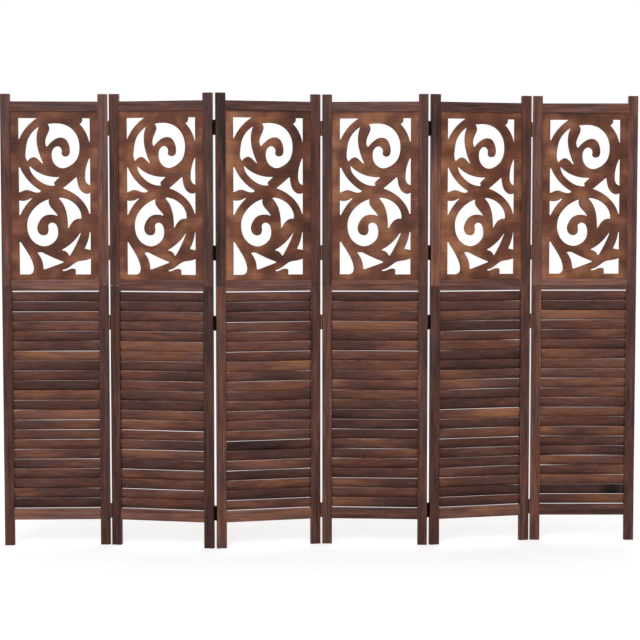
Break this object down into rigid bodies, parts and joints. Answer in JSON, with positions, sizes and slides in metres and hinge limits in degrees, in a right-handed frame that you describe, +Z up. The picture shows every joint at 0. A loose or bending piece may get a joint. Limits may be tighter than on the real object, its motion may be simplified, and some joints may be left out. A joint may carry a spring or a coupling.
{
  "type": "folding screen",
  "caption": "Tall folding screen of hinged wooden panels in a zigzag, each with scroll fretwork above and louvre slats below.",
  "frame": {"origin": "middle of the screen's footprint, on the floor it stands on", "axes": "+X along the screen from its left end to its right end seen from the front, +Y from front to back, +Z up"},
  "size_m": [2.4032, 0.1366, 1.7],
  "materials": {
    "frame_wood": "dark walnut stain, satin lacquer",
    "fretwork_wood": "warm walnut stain, satin lacquer",
    "slat_wood": "walnut stain, satin lacquer",
    "dowel_wood": "bare beech",
    "hinge_metal": "dark bronze plated steel"
  },
  "bodies": {
    "panel_1": {"panel_1_upper_stiles": "frame_wood", "panel_1_lower_stiles": "frame_wood", "panel_1_rails": "frame_wood", "panel_1_fretwork_board": "fretwork_wood", "panel_1_slats": "slat_wood", "panel_1_seam_dowels": "dowel_wood", "panel_1_hinge_screws": "hinge_metal", "hinge_1_2_left_leaves": "hinge_metal", "hinge_1_2_pins": "hinge_metal"},
    "panel_2": {"panel_2_upper_stiles": "frame_wood", "panel_2_lower_stiles": "frame_wood", "panel_2_rails": "frame_wood", "panel_2_fretwork_board": "fretwork_wood", "panel_2_slats": "slat_wood", "panel_2_seam_dowels": "dowel_wood", "panel_2_hinge_screws": "hinge_metal", "hinge_1_2_right_leaves": "hinge_metal", "hinge_2_3_left_leaves": "hinge_metal", "hinge_2_3_pins": "hinge_metal"},
    "panel_3": {"panel_3_upper_stiles": "frame_wood", "panel_3_lower_stiles": "frame_wood", "panel_3_rails": "frame_wood", "panel_3_fretwork_board": "fretwork_wood", "panel_3_slats": "slat_wood", "panel_3_seam_dowels": "dowel_wood", "panel_3_hinge_screws": "hinge_metal", "hinge_2_3_right_leaves": "hinge_metal", "hinge_3_4_left_leaves": "hinge_metal", "hinge_3_4_pins": "hinge_metal"},
    "panel_4": {"panel_4_upper_stiles": "frame_wood", "panel_4_lower_stiles": "frame_wood", "panel_4_rails": "frame_wood", "panel_4_fretwork_board": "fretwork_wood", "panel_4_slats": "slat_wood", "panel_4_seam_dowels": "dowel_wood", "panel_4_hinge_screws": "hinge_metal", "hinge_3_4_right_leaves": "hinge_metal", "hinge_4_5_left_leaves": "hinge_metal", "hinge_4_5_pins": "hinge_metal"},
    "panel_5": {"panel_5_upper_stiles": "frame_wood", "panel_5_lower_stiles": "frame_wood", "panel_5_rails": "frame_wood", "panel_5_fretwork_board": "fretwork_wood", "panel_5_slats": "slat_wood", "panel_5_seam_dowels": "dowel_wood", "panel_5_hinge_screws": "hinge_metal", "hinge_4_5_right_leaves": "hinge_metal", "hinge_5_6_left_leaves": "hinge_metal", "hinge_5_6_pins": "hinge_metal"},
    "panel_6": {"panel_6_upper_stiles": "frame_wood", "panel_6_lower_stiles": "frame_wood", "panel_6_rails": "frame_wood", "panel_6_fretwork_board": "fretwork_wood", "panel_6_slats": "slat_wood", "panel_6_seam_dowels": "dowel_wood", "panel_6_hinge_screws": "hinge_metal", "hinge_5_6_right_leaves": "hinge_metal"}
  },
  "joints": [
    {"name": "fold_3_4", "type": "hinge", "parent": "panel_3", "child": "panel_4", "pos_m": [-0.00295, 0.00753, 0.983], "axis": [0, 0, -1], "range_deg": [-17.7, 162.3]},
    {"name": "fold_2_3", "type": "hinge", "parent": "panel_3", "child": "panel_2", "pos_m": [-0.40322, -0.04624, 0.983], "axis": [0, 0, -1], "range_deg": [-25, 155]},
    {"name": "fold_1_2", "type": "hinge", "parent": "panel_2", "child": "panel_1", "pos_m": [-0.80113, 0.02286, 0.983], "axis": [0, 0, 1], "range_deg": [-13.5, 166.5]},
    {"name": "fold_4_5", "type": "hinge", "parent": "panel_4", "child": "panel_5", "pos_m": [0.40051, -0.01045, 0.983], "axis": [0, 0, 1], "range_deg": [-18, 162]},
    {"name": "fold_5_6", "type": "hinge", "parent": "panel_5", "child": "panel_6", "pos_m": [0.80049, 0.04542, 0.983], "axis": [0, 0, -1], "range_deg": [-14.2, 165.8]}
  ]
}
